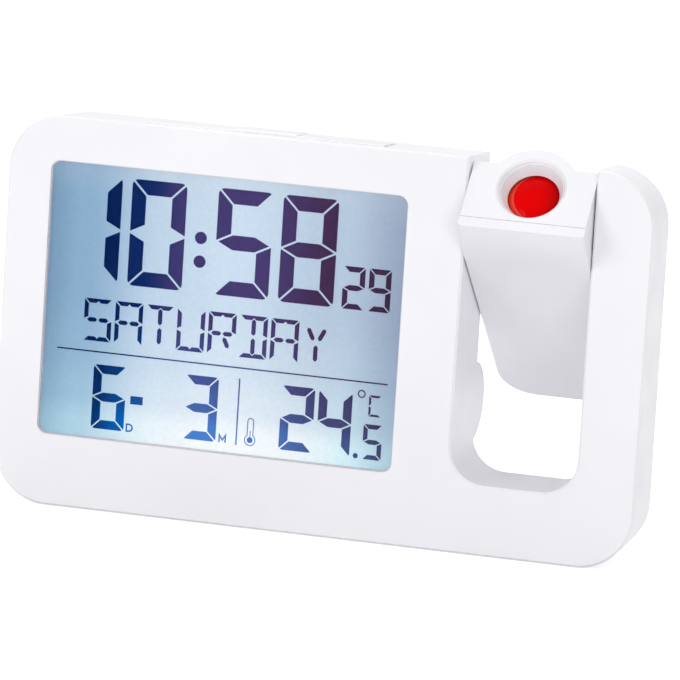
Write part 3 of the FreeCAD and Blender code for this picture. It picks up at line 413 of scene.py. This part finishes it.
def lit_panel():
    """Backlit panel: brightest low in the middle, steel blue towards the left and right edges."""
    nodes = material_nodes("display_glass")
    colour = over_lamps(nodes, PANEL_COLOURS, PANEL_OVER_LAMPS, PANEL_LAMPS_UP, PANEL_LAMPS_ACROSS)
    up = nodes.along("Z", window_low.z, window_high.z)
    colour = nodes.mix(nodes.ramp(up, greys(PANEL_TOP_UP)), colour, linear(PANEL_TOP))
    speckle = nodes.ramp(nodes.noise(scale=900.0, detail=4.0), greys([(0.3, 0.95), (0.7, 1.0)]))
    nodes.glow(nodes.multiply(colour, speckle), DISPLAY_GLOW)
    nodes.set(Roughness=0.5, Specular_IOR_Level=0.1)
    return nodes.owner


def display_ink(name, lift=1.0):
    """Dark marks of the panel: navy at the left, plum at the right, bluer near the lamps."""
    nodes = material_nodes(name)
    colour = over_lamps(nodes, INK_COLOURS, INK_OVER_LAMPS, INK_LAMPS_UP, INK_LAMPS_ACROSS)
    nodes.glow(colour, DISPLAY_GLOW * lift)
    nodes.set(Roughness=0.6, Specular_IOR_Level=0.0)
    return nodes.owner


def red_optic():
    """Red moulded lens, polished: painted shade towards its right, a painted highlight as a paler
    crescent at the left, and a faint painted glow.
    """
    nodes = material_nodes("red_lens")
    off_middle = nodes.add("ShaderNodeVectorMath", operation="DISTANCE")
    nodes.link(nodes.position(), off_middle.inputs[0])
    off_middle.inputs[1].default_value = (lens_low + lens_high) / 2 + Vector(PAINTED_CRESCENT_SHIFT)
    # Painted highlight: a paler crescent near the lens's left edge
    crescent_highlight = nodes.span(off_middle.outputs["Value"], PAINTED_CRESCENT_FROM, PAINTED_CRESCENT_TO)
    # Painted shade: the red darkens towards the right
    red = nodes.ramp(nodes.along("X", lens_low.x, lens_high.x), tones(SHADED_LENS_REDS))
    red = nodes.mix(nodes.ramp(crescent_highlight, greys(PAINTED_CRESCENT_STRENGTH)), red, linear(PAINTED_CRESCENT_RED))
    cloud = nodes.ramp(nodes.noise(scale=70.0, detail=2.0), greys([(0.3, 0.95), (0.7, 1.0)]))
    # Painted glow: a little red light of its own, though the lens is no lamp
    nodes.set(Base_Color=nodes.multiply(red, cloud), Emission_Color=linear(PAINTED_GLOW_RED),
              Emission_Strength=PAINTED_LENS_GLOW, Roughness=0.1, Specular_IOR_Level=0.04)
    return nodes.owner


def cell_sleeve():
    """Printed sleeve of each battery cell: green with a pale band at one end, bare at both tips."""
    nodes = material_nodes("cell_can")
    cells = nodes.math("MULTIPLY", nodes.along("X", cells_low.x, cells_high.x), CELL_COUNT)
    nodes.set(Base_Color=nodes.ramp(nodes.math("FRACT", cells), tones(CELL_STOPS), smooth=False),
              Roughness=0.25, Coat_Weight=0.5, Coat_Roughness=0.05)
    return nodes.owner


def board_laminate():
    nodes = material_nodes("green_board")
    mottle = nodes.noise(scale=300.0, detail=5.0)
    nodes.set(Base_Color=nodes.ramp(mottle, tones([(0.35, BOARD_DARK), (0.65, BOARD_GREEN)])),
              Roughness=0.4, Coat_Weight=0.3)
    return nodes.owner


finishes = {
    "white_casing": moulded_plastic("white_casing", CASING_WHITE),
    "white_arm": moulded_plastic("white_arm", ARM_WHITE, roughness=0.4),
    "white_key": moulded_plastic("white_key", KEY_WHITE, roughness=0.36, grain=0.05),
    # Ring: its cyan tint is painted against the red light from the lens
    "white_ring": moulded_plastic("white_ring", RING_WHITE_AGAINST_RED_LIGHT, roughness=0.25, grain=0.03),
    "grey_key": soft_rubber("grey_key", (205, 206, 210), roughness=0.55),
    "clear_window": clear_plastic("clear_window", (252, 253, 255)),
    "display_glass": lit_panel(),
    "clear_guide": clear_plastic("clear_guide", (240, 246, 250), roughness=0.2, ior=1.45),
    "lamp_white": gloss_plastic("lamp_white", (240, 240, 230)),
    "black_rubber": soft_rubber("black_rubber", (24, 24, 25)),
    "grey_frame": moulded_plastic("grey_frame", (206, 206, 208), roughness=0.5),
    "green_board": board_laminate(),
    "black_resin": gloss_plastic("black_resin", (16, 16, 17), roughness=0.3),
    "bright_steel": plated_metal("bright_steel", (206, 206, 210)),
    "switch_grey": moulded_plastic("switch_grey", (70, 70, 74), roughness=0.5),
    "brass_disc": plated_metal("brass_disc", (214, 178, 108), roughness=0.35),
    "foot_rubber": soft_rubber("foot_rubber", (176, 176, 180)),
    "cell_can": cell_sleeve(),
    "bush_nylon": moulded_plastic("bush_nylon", (232, 231, 226), roughness=0.48),
    "lead_sheath": soft_rubber("lead_sheath", (34, 34, 36), roughness=0.5),
    "black_cell": moulded_plastic("black_cell", (22, 22, 24), roughness=0.6),
    "red_lens": red_optic(),
    "slide_glass": gloss_plastic("slide_glass", (60, 62, 68)),
    "condenser_clear": clear_plastic("condenser_clear", (245, 246, 248), roughness=0.03, ior=1.49),
    "red_lamp": gloss_plastic("red_lamp", (216, 46, 34)),
}
for subpart in frame["record"]["subparts"]:
    node = frame["nodes"][subpart["node"]]
    for material_slot in node.material_slots:
        material_slot.material = finishes[subpart["material_slot"]]


# Flat shapes. A polygon is a list of places across and up.

def clip(polygon, point, inward):
    """The part of a convex polygon on the inward side of the line through point."""
    kept = []
    for number, (x, z) in enumerate(polygon):
        last_x, last_z = polygon[number - 1]
        here = (x - point[0]) * inward[0] + (z - point[1]) * inward[1]
        before = (last_x - point[0]) * inward[0] + (last_z - point[1]) * inward[1]
        if (here < 0) != (before < 0):
            share = before / (before - here)
            kept.append((last_x + (x - last_x) * share, last_z + (z - last_z) * share))
        if here >= 0:
            kept.append((x, z))
    return kept


def beside(polygon, start, end, gap):
    """Keeps what lies to the left of the line from start to end, by gap or more."""
    dx, dz = end[0] - start[0], end[1] - start[1]
    length = math.hypot(dx, dz)
    inward = (-dz / length, dx / length)
    point = (start[0] + inward[0] * gap, start[1] + inward[1] * gap)
    return clip(polygon, point, inward)


def arc(cx, cz, radius, start, end, steps, rise=None):
    """Points from one angle to another, in degrees. An oval has its upright radius as rise."""
    points = []
    for step in range(steps + 1):
        angle = math.radians(start + (end - start) * step / steps)
        points.append((cx + radius * math.cos(angle), cz + (rise or radius) * math.sin(angle)))
    return points


def disc(cx, cz, radius, steps=32):
    return arc(cx, cz, radius, 0, 360, steps)[:-1]


def rectangle(x0, z0, x1, z1):
    return [(x0, z0), (x1, z0), (x1, z1), (x0, z1)]


def rounded_rectangle(x0, z0, x1, z1, radius, steps=5):
    left, right, low, high = x0 + radius, x1 - radius, z0 + radius, z1 - radius
    points = []
    for cx, cz, start in ((right, low, -90), (right, high, 0), (left, high, 90), (left, low, 180)):
        points += arc(cx, cz, radius, start, start + 90, steps)
    return points


def stroke_between(start, end, width):
    """Straight stroke whose ends come to a blunt point."""
    (start_x, start_z), (end_x, end_z) = start, end
    length = math.hypot(end_x - start_x, end_z - start_z)
    half = width / 2
    ahead_x, ahead_z = (end_x - start_x) / length * half, (end_z - start_z) / length * half
    return [start, (start_x + ahead_x + ahead_z, start_z + ahead_z - ahead_x),
            (end_x - ahead_x + ahead_z, end_z - ahead_z - ahead_x), end,
            (end_x - ahead_x - ahead_z, end_z - ahead_z + ahead_x),
            (start_x + ahead_x - ahead_z, start_z + ahead_z + ahead_x)]


def line_along(points, width, closed=False):
    """Quads that follow a line of points with mitred corners."""
    count = len(points)
    runs = count if closed else count - 1
    ways = [(Vector(points[(number + 1) % count]) - Vector(points[number])).normalized()
            for number in range(runs)]
    sides = []
    for number, point in enumerate(points):
        arriving = ways[number - 1] if number or closed else ways[0]
        leaving = ways[number] if number < runs else arriving
        direction = (arriving + leaving).normalized()
        mitre = max(LEAST_MITRE, direction.dot(leaving))
        reach = Vector((-direction.y, direction.x)) * width / 2 / mitre
        sides.append((Vector(point) + reach, Vector(point) - reach))
    quads = []
    for number in range(runs):
        (left, right), (next_left, next_right) = sides[number], sides[(number + 1) % count]
        quads.append([tuple(corner) for corner in (right, next_right, next_left, left)])
    return quads


# Figures and letters of the display

def seven_bars(x0, z0, width, height, bar, gap):
    """Polygons of the seven bars of one cell, whose outer corners are rounded."""
    x1, z1 = x0 + width, z0 + height
    middle = z0 + height / 2
    half = bar / 2
    cell = rounded_rectangle(x0, z0, x1, z1, bar * CORNER_SHARE)

    # Lines along which two bars meet, each from the cell's edge inwards
    left, right = x0 + bar, x1 - bar
    top_left, top_right = ((x0, z1), (left, z1 - bar)), ((x1, z1), (right, z1 - bar))
    low_left, low_right = ((x0, z0), (left, z0 + bar)), ((x1, z0), (right, z0 + bar))
    left_up, right_up = ((x0, middle), (left, middle + half)), ((x1, middle), (right, middle + half))
    left_down, right_down = ((x0, middle), (left, middle - half)), ((x1, middle), (right, middle - half))

    def cut(polygon, *lines):
        for start, end in lines:
            polygon = beside(polygon, start, end, gap / 2)
        return polygon

    def flip(line):
        return line[1], line[0]

    return {
        "a": cut(clip(cell, (x0, z1 - bar), (0, 1)), top_left, flip(top_right)),
        "d": cut(clip(cell, (x0, z0 + bar), (0, -1)), flip(low_left), low_right),
        "f": cut(clip(cell, (left, z0), (-1, 0)), flip(top_left), left_up),
        "b": cut(clip(cell, (right, z0), (1, 0)), top_right, flip(right_up)),
        "e": cut(clip(cell, (left, z0), (-1, 0)), flip(left_down), low_left),
        "c": cut(clip(cell, (right, z0), (1, 0)), right_down, flip(low_right)),
        "g": cut(rectangle(x0, middle - half, x1, middle + half),
                 flip(left_up), left_down, right_up, flip(right_down)),
    }


def notched(polygon, edge, middle, size, way):
    """Cuts a small notch into a polygon's level edge, up from it or down."""
    shape = []
    for number, point in enumerate(polygon):
        before = polygon[number - 1]
        if abs(point[1] - edge) < SAME_HEIGHT and abs(before[1] - edge) < SAME_HEIGHT:
            side = size if before[0] > point[0] else -size
            shape += [(middle + side, edge), (middle, edge + way * size), (middle - side, edge)]
        shape.append(point)
    return shape


def fourteen_bars(x0, z0, width, height, bar, gap):
    """Polygons of the bars of one letter.

    Those inside its cell are strokes, kept clear of the others by shares of the bar's width.
    """
    shapes = seven_bars(x0, z0, width, height, bar, gap)
    middle, centre = x0 + width / 2, z0 + height / 2
    top, low = z0 + height - bar, z0 + bar
    left, right = x0 + bar * 0.75, x0 + width - bar * 0.75
    notch = bar * 0.5
    shapes["a"] = notched(shapes["a"], top, middle, notch, 1)
    shapes["d"] = notched(shapes["d"], low, middle, notch, -1)
    strokes = {
        "g1": ((left, centre), (middle - gap / 2, centre)),
        "g2": ((middle + gap / 2, centre), (right, centre)),
        "i": ((middle, centre + gap), (middle, top + notch - gap)),
        "l": ((middle, low - notch + gap), (middle, centre - gap)),
        "h": ((left + bar * 0.5, top - gap), (middle - bar * 0.6, centre + bar * 0.7)),
        "j": ((right - bar * 0.5, top - gap), (middle + bar * 0.6, centre + bar * 0.7)),
        "m": ((middle + bar * 0.4, centre - bar * 0.8), (right - bar * 0.9, low + bar * 0.6)),
    }
    for name, (start, end) in strokes.items():
        shapes[name] = stroke_between(start, end, bar)
    return shapes


def figures(row):
    """Polygons of a row of seven-segment figures."""
    shapes = []
    for sign, left in zip(row.signs, row.lefts):
        bars = seven_bars(left, row.low, row.width, row.height, row.bar, row.gap)
        shapes += [bars[name] for name in FIGURE_BARS[sign]]
    return shapes


def letters(row):
    """Polygons of a row of fourteen-segment letters."""
    shapes = []
    for sign, left in zip(row.signs, row.lefts):
        bars = fourteen_bars(left, row.low, row.width, row.height, row.bar, row.gap)
        shapes += [bars[name] for name in LETTER_BARS[sign].split()]
    return shapes


def time_shapes():
    dots = [disc(*dot) for dot in COLON_DOTS]
    return figures(TIME_ROW) + dots + figures(SECONDS_ROW)


def date_shapes():
    shapes = figures(DATE_ROW) + figures(TENTHS_ROW) + figures(UNIT_ROW)
    shapes += [rectangle(*DATE_DASH), disc(*POINT_DOT)]
    return shapes + line_along(disc(*DEGREE_RING), DEGREE_LINE, closed=True)


def fine_shapes():
    """Dividers, and the small letters that stand for day and month."""
    bow = arc(*SMALL_D_MIDDLE, SMALL_D_BOW, 90, -90, steps=10, rise=SMALL_D_RISE)
    return ([LEVEL_DIVIDER, rectangle(*UPRIGHT_DIVIDER)]
            + line_along(SMALL_D_STEM + bow, LETTER_LINE, closed=True)
            + line_along(SMALL_M, LETTER_LINE))


def thermometer_shapes():
    neck = math.degrees(math.asin(TUBE_RADIUS / BULB_RADIUS))
    outline = (arc(THERMOMETER_X, TUBE_TOP_Z, TUBE_RADIUS, 0, 180, steps=9)
               + arc(THERMOMETER_X, BULB_Z, BULB_RADIUS, 90 + neck, 450 - neck, steps=18))
    column = rectangle(THERMOMETER_X - COLUMN_HALF, BULB_Z, THERMOMETER_X + COLUMN_HALF, COLUMN_TOP_Z)
    fill = [disc(THERMOMETER_X, BULB_Z, BULB_FILL), column]
    return line_along(outline, THERMOMETER_LINE, closed=True) + fill


# Pieces that the solids leave out: the display's marks, the lip between the barrel and the focus
# ring, and the edge of the display's opening, which shows inside the clear window, darkened to grey with
# painted shade

def add_piece(name, data, material, body):
    """Puts a mesh in the scene as a piece that moves with one body."""
    data.materials.append(material)
    piece = bpy.data.objects.new(name, data)
    bpy.context.collection.objects.link(piece)
    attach(piece, body)


def add_marks(name, polygons, material):
    """Thin raised plates on the panel's front face, one for each polygon."""
    mesh = bmesh.new()
    left, low = window_low.x + MARK_SHIFT_X, window_low.z + MARK_SHIFT_Z
    for polygon in polygons:
        back = [mesh.verts.new((left + x * MM, panel_front, low + z * MM)) for x, z in polygon]
        front = [mesh.verts.new((left + x * MM, panel_front - MARK_HEIGHT, low + z * MM))
                 for x, z in polygon]
        mesh.faces.new(front)
        mesh.faces.new(back[::-1])
        for number in range(len(polygon)):
            mesh.faces.new((back[number - 1], back[number], front[number], front[number - 1]))
    bmesh.ops.recalc_face_normals(mesh, faces=mesh.faces)
    data = bpy.data.meshes.new(name)
    mesh.to_mesh(data)
    mesh.free()
    add_piece(name, data, material, "casing")


def closed_band(name, loops):
    """Mesh of a closed band through equal loops of points, the last joined to the first."""
    count = len(loops[0])
    faces = []
    for number in range(len(loops)):
        following = (number + 1) % len(loops)
        for k in range(count):
            step = (k + 1) % count
            faces.append((number * count + k, number * count + step,
                          following * count + step, following * count + k))
    data = bpy.data.meshes.new(name)
    data.from_pydata([point for loop in loops for point in loop], [], faces)
    return data


def add_ring_lip():
    """Thin lip of the barrel that closes the view into the gap round the focus ring."""
    turn = next(joint for joint in frame["record"]["behaviour"]["joints"]
                if joint["name"] == "focus_turn")
    foot, axis = Vector(turn["pos_m"]), Vector(turn["axis"]).normalized()
    side = Vector((1, 0, 0))
    over = axis.cross(side)
    reaches = [vertex.co - foot for vertex in frame["nodes"]["focus_ring"].data.vertices]
    ring_top = max(reach.dot(axis) for reach in reaches)
    ring_radius = max((reach - axis * reach.dot(axis)).length for reach in reaches)
    inner, outer = ring_radius + LIP_CLEARANCE, ring_radius + LIP_REACH
    top = ring_top - LIP_DROP
    low = top - LIP_THICKNESS
    loops = []
    for radius, height in ((inner, top), (outer, top), (outer, low), (inner, low)):
        loops.append([foot + axis * height + side * across + over * up
                      for across, up in disc(0, 0, radius, steps=96)])
    add_piece("ring_lip", closed_band("ring_lip", loops), finishes["white_arm"], "arm")


def add_window_liner():
    """Liner of the display's opening, just inside the clear window's edge: its own white edge, darkened
    to grey with painted shade.
    """
    def loop(inset, y):
        outline = rounded_rectangle(window_low.x + inset, window_low.z + inset, window_high.x - inset,
                                    window_high.z - inset, WINDOW_CORNER - inset, steps=10)
        return [(x, y, z) for x, z in outline]

    outer, inner = LINER_INSET, LINER_INSET + LINER_THICKNESS
    front, back = window_low.y + LINER_SETBACK, panel_front - LINER_SETBACK
    loops = [loop(outer, front), loop(inner, front), loop(inner, back), loop(outer, back)]
    # Painted shade: grey in place of the white edge, for the shade along the window's edge
    white = moulded_plastic("liner_painted_shade", LINER_PAINTED_SHADE_GREY, roughness=0.5)
    add_piece("window_liner", closed_band("window_liner", loops), white, "casing")


dark_ink = display_ink("display_dark")
line_ink = display_ink("display_line", lift=FINE_LINE_LIFT)
add_marks("time_marks", time_shapes(), dark_ink)
add_marks("weekday_marks", letters(WEEKDAY_ROW), dark_ink)
add_marks("date_marks", date_shapes(), dark_ink)
add_marks("fine_lines", fine_shapes(), line_ink)
add_marks("thermometer", thermometer_shapes(), line_ink)
add_ring_lip()
add_window_liner()


# Camera and stage

def add_camera():
    back = Vector((math.sin(CAMERA_AZIMUTH) * math.cos(CAMERA_ELEVATION),
                   -math.cos(CAMERA_AZIMUTH) * math.cos(CAMERA_ELEVATION),
                   math.sin(CAMERA_ELEVATION)))
    level = Vector((math.cos(CAMERA_AZIMUTH), math.sin(CAMERA_AZIMUTH), 0))
    over = back.cross(level)
    side = math.cos(CAMERA_ROLL) * level + math.sin(CAMERA_ROLL) * over
    up = -math.sin(CAMERA_ROLL) * level + math.cos(CAMERA_ROLL) * over
    data = bpy.data.cameras.new("camera")
    data.lens = CAMERA_LENS
    data.sensor_width = CAMERA_SENSOR
    data.clip_end = CAMERA_CLIP
    camera = bpy.data.objects.new("camera", data)
    turned = Matrix((side, up, back)).transposed().to_4x4()
    camera.matrix_world = Matrix.Translation(CAMERA_PLACE) @ turned
    bpy.context.collection.objects.link(camera)
    bpy.context.scene.camera = camera


def add_floor():
    """Pale floor that shows as white to the camera and keeps the object's shadow."""
    nodes = material_nodes("floor_white")
    seen = nodes.seen_by("Is Camera Ray", "Is Glossy Ray", "Is Transmission Ray")
    nodes.set(Base_Color=nodes.ramp(nodes.noise(scale=20.0), FLOOR_TONES), Roughness=0.9,
              Specular_IOR_Level=0.0, Emission_Color=(1.0, 1.0, 1.0, 1.0),
              Emission_Strength=nodes.math("MULTIPLY", seen, FLOOR_SEEN_LIGHT))
    mesh = bpy.data.meshes.new("floor")
    corners = rectangle(-FLOOR_HALF, -FLOOR_HALF, FLOOR_HALF, FLOOR_HALF)
    mesh.from_pydata([(x, y, 0) for x, y in corners], [], [(0, 1, 2, 3)])
    mesh.materials.append(nodes.owner)
    floor = bpy.data.objects.new("floor", mesh)
    bpy.context.collection.objects.link(floor)


def add_world():
    """White surroundings: soft even light, and pure white to the camera."""
    world = bpy.data.worlds.new("studio")
    bpy.context.scene.world = world
    nodes = Nodes(world, "Background")
    seen = nodes.seen_by("Is Camera Ray", "Is Transmission Ray")
    nodes.set(Color=(1.0, 1.0, 1.0, 1.0), Strength=nodes.span(seen, 0.0, 1.0, WORLD_LIGHT, 1.0))


def add_lamp(name, place, size, power):
    data = bpy.data.lights.new(name, "AREA")
    data.shape = "DISK"
    data.size = size
    data.energy = power
    lamp = bpy.data.objects.new(name, data)
    lamp.location = place
    lamp.rotation_euler = (LAMP_TARGET - Vector(place)).to_track_quat("-Z", "Y").to_euler()
    bpy.context.collection.objects.link(lamp)


add_camera()
add_floor()
add_world()
for lamp_values in LAMPS:
    add_lamp(*lamp_values)

bpy.context.scene.view_settings.view_transform = "Standard"
